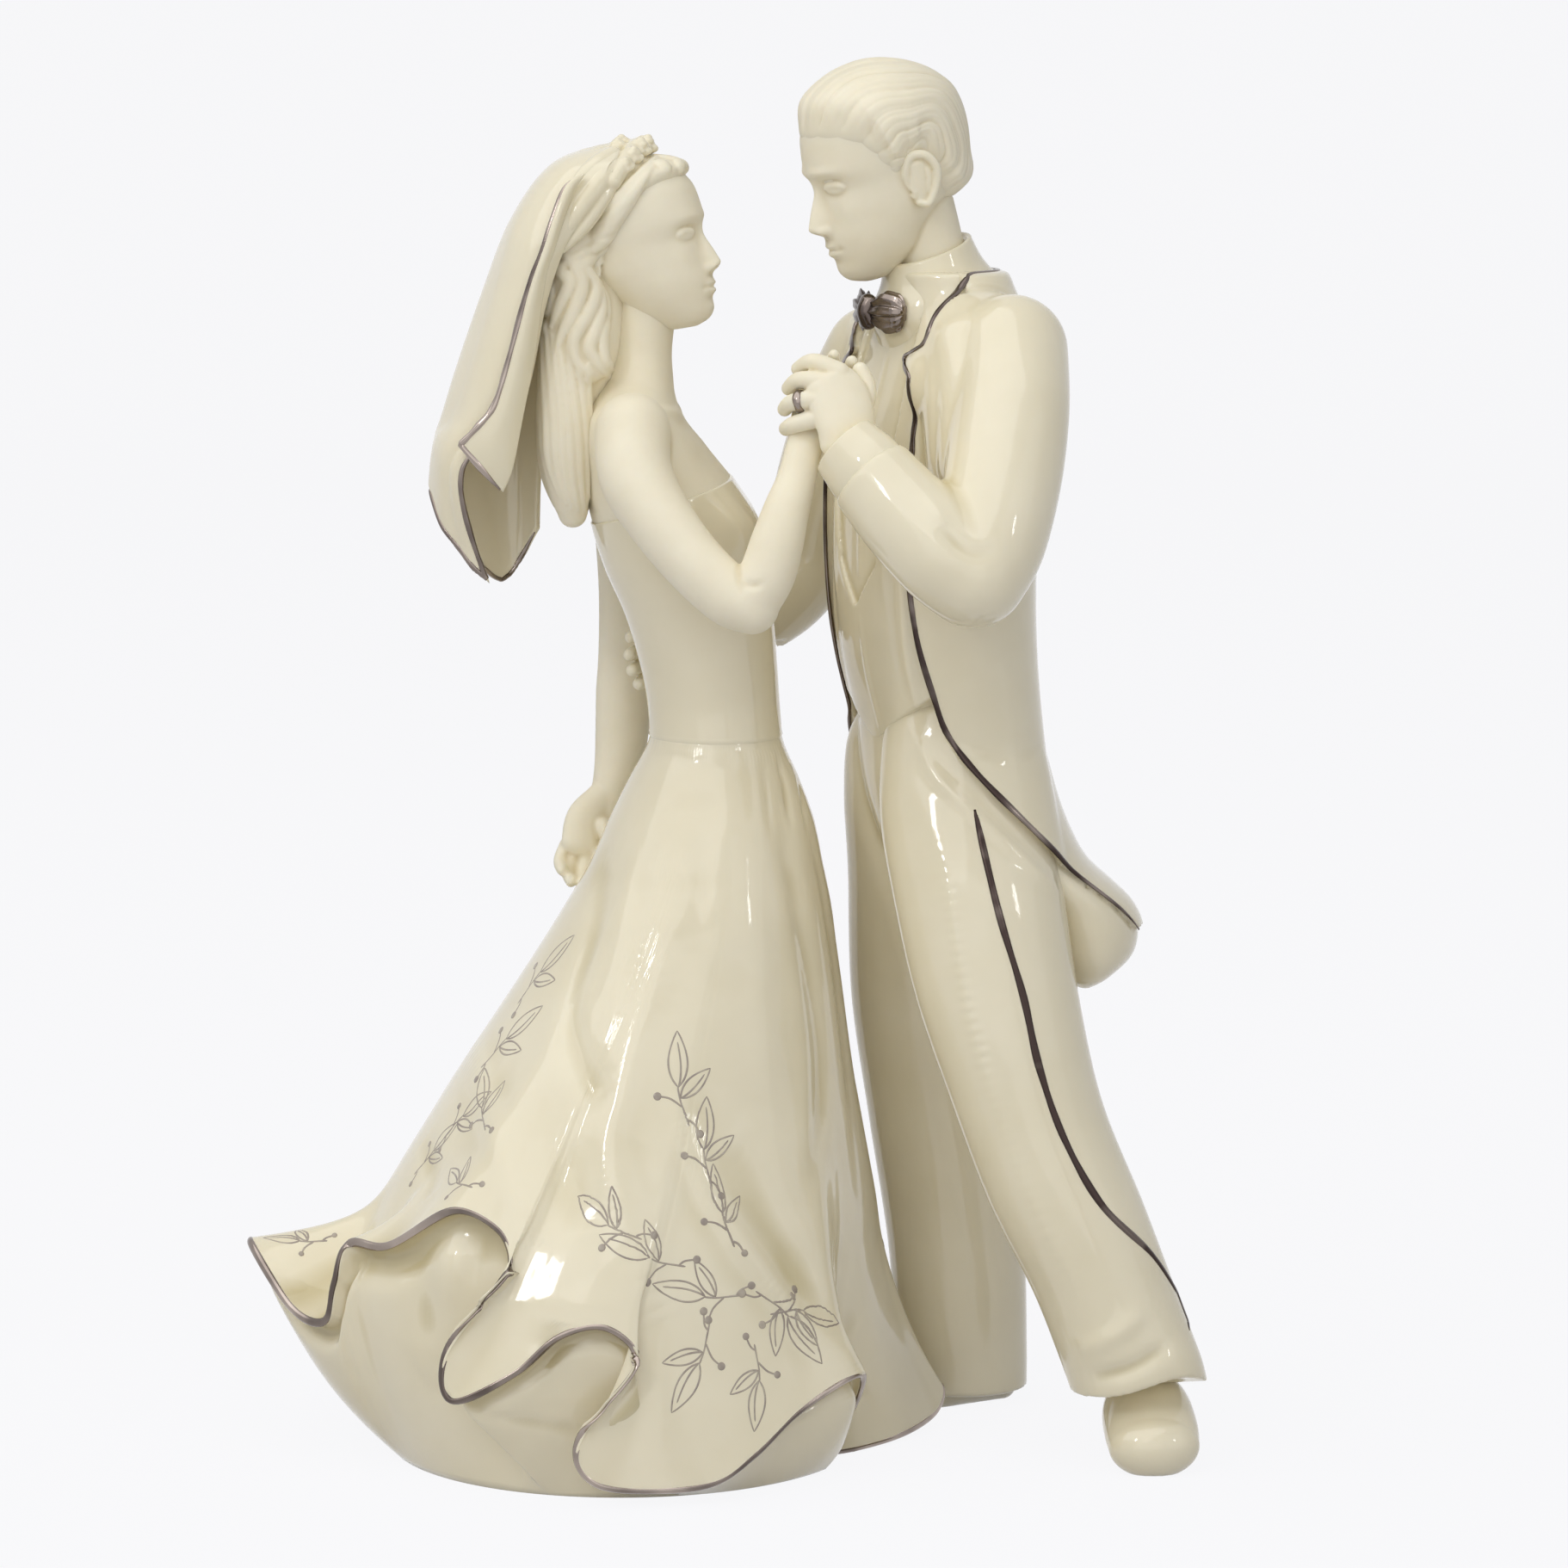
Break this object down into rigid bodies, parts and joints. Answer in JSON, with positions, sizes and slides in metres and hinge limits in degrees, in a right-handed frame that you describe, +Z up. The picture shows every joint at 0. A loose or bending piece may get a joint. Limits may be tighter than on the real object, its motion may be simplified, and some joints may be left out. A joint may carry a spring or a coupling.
{
  "type": "dancing wedding couple figurine",
  "caption": "Porcelain wedding couple dancing hand in hand, her flared skirt with a lifted fluted hem, his tailcoat, a folded veil, on a flat foot.",
  "frame": {"origin": "on the ground under the middle of the pair's bounding box", "axes": "+Z up; +X from the bride to the groom, along the clasped arms; -Y towards the side that shows the clasped hands"},
  "size_m": [0.1431, 0.0915, 0.2084],
  "materials": {
    "ivory_glaze": "clear gloss glaze over ivory porcelain",
    "ivory_bisque": "unglazed matte bisque, warm ivory",
    "fired_platinum": "burnished platinum lustre fired on the glaze",
    "printed_ink": "warm grey-brown transfer print fired on the glaze, in the sprigs on the skirt"
  },
  "bodies": {
    "root": {"bride_skirt": "ivory_glaze", "skirt_foot": "ivory_glaze", "bride_bodice": "ivory_glaze", "bride_shoulders": "ivory_bisque", "bride_head": "ivory_bisque", "bride_hair": "ivory_bisque", "flower_headpiece": "ivory_glaze", "bride_veil": "ivory_glaze", "bride_right_arm": "ivory_bisque", "bride_left_arm": "ivory_bisque", "bride_right_hand": "ivory_bisque", "bride_left_hand": "ivory_bisque", "groom_head": "ivory_bisque", "groom_hair": "ivory_bisque", "groom_collar": "ivory_glaze", "bow_tie": "fired_platinum", "groom_coat": "ivory_glaze", "groom_waistcoat": "ivory_glaze", "groom_coat_tails": "ivory_glaze", "groom_left_sleeve": "ivory_glaze", "groom_right_sleeve": "ivory_glaze", "groom_left_cuff": "ivory_glaze", "groom_right_cuff": "ivory_glaze", "groom_left_hand": "ivory_bisque", "groom_right_hand": "ivory_bisque", "wedding_ring": "fired_platinum", "groom_left_leg": "ivory_glaze", "groom_right_leg": "ivory_glaze", "groom_left_shoe": "ivory_glaze", "groom_right_shoe": "ivory_glaze"}
  },
  "joints": []
}
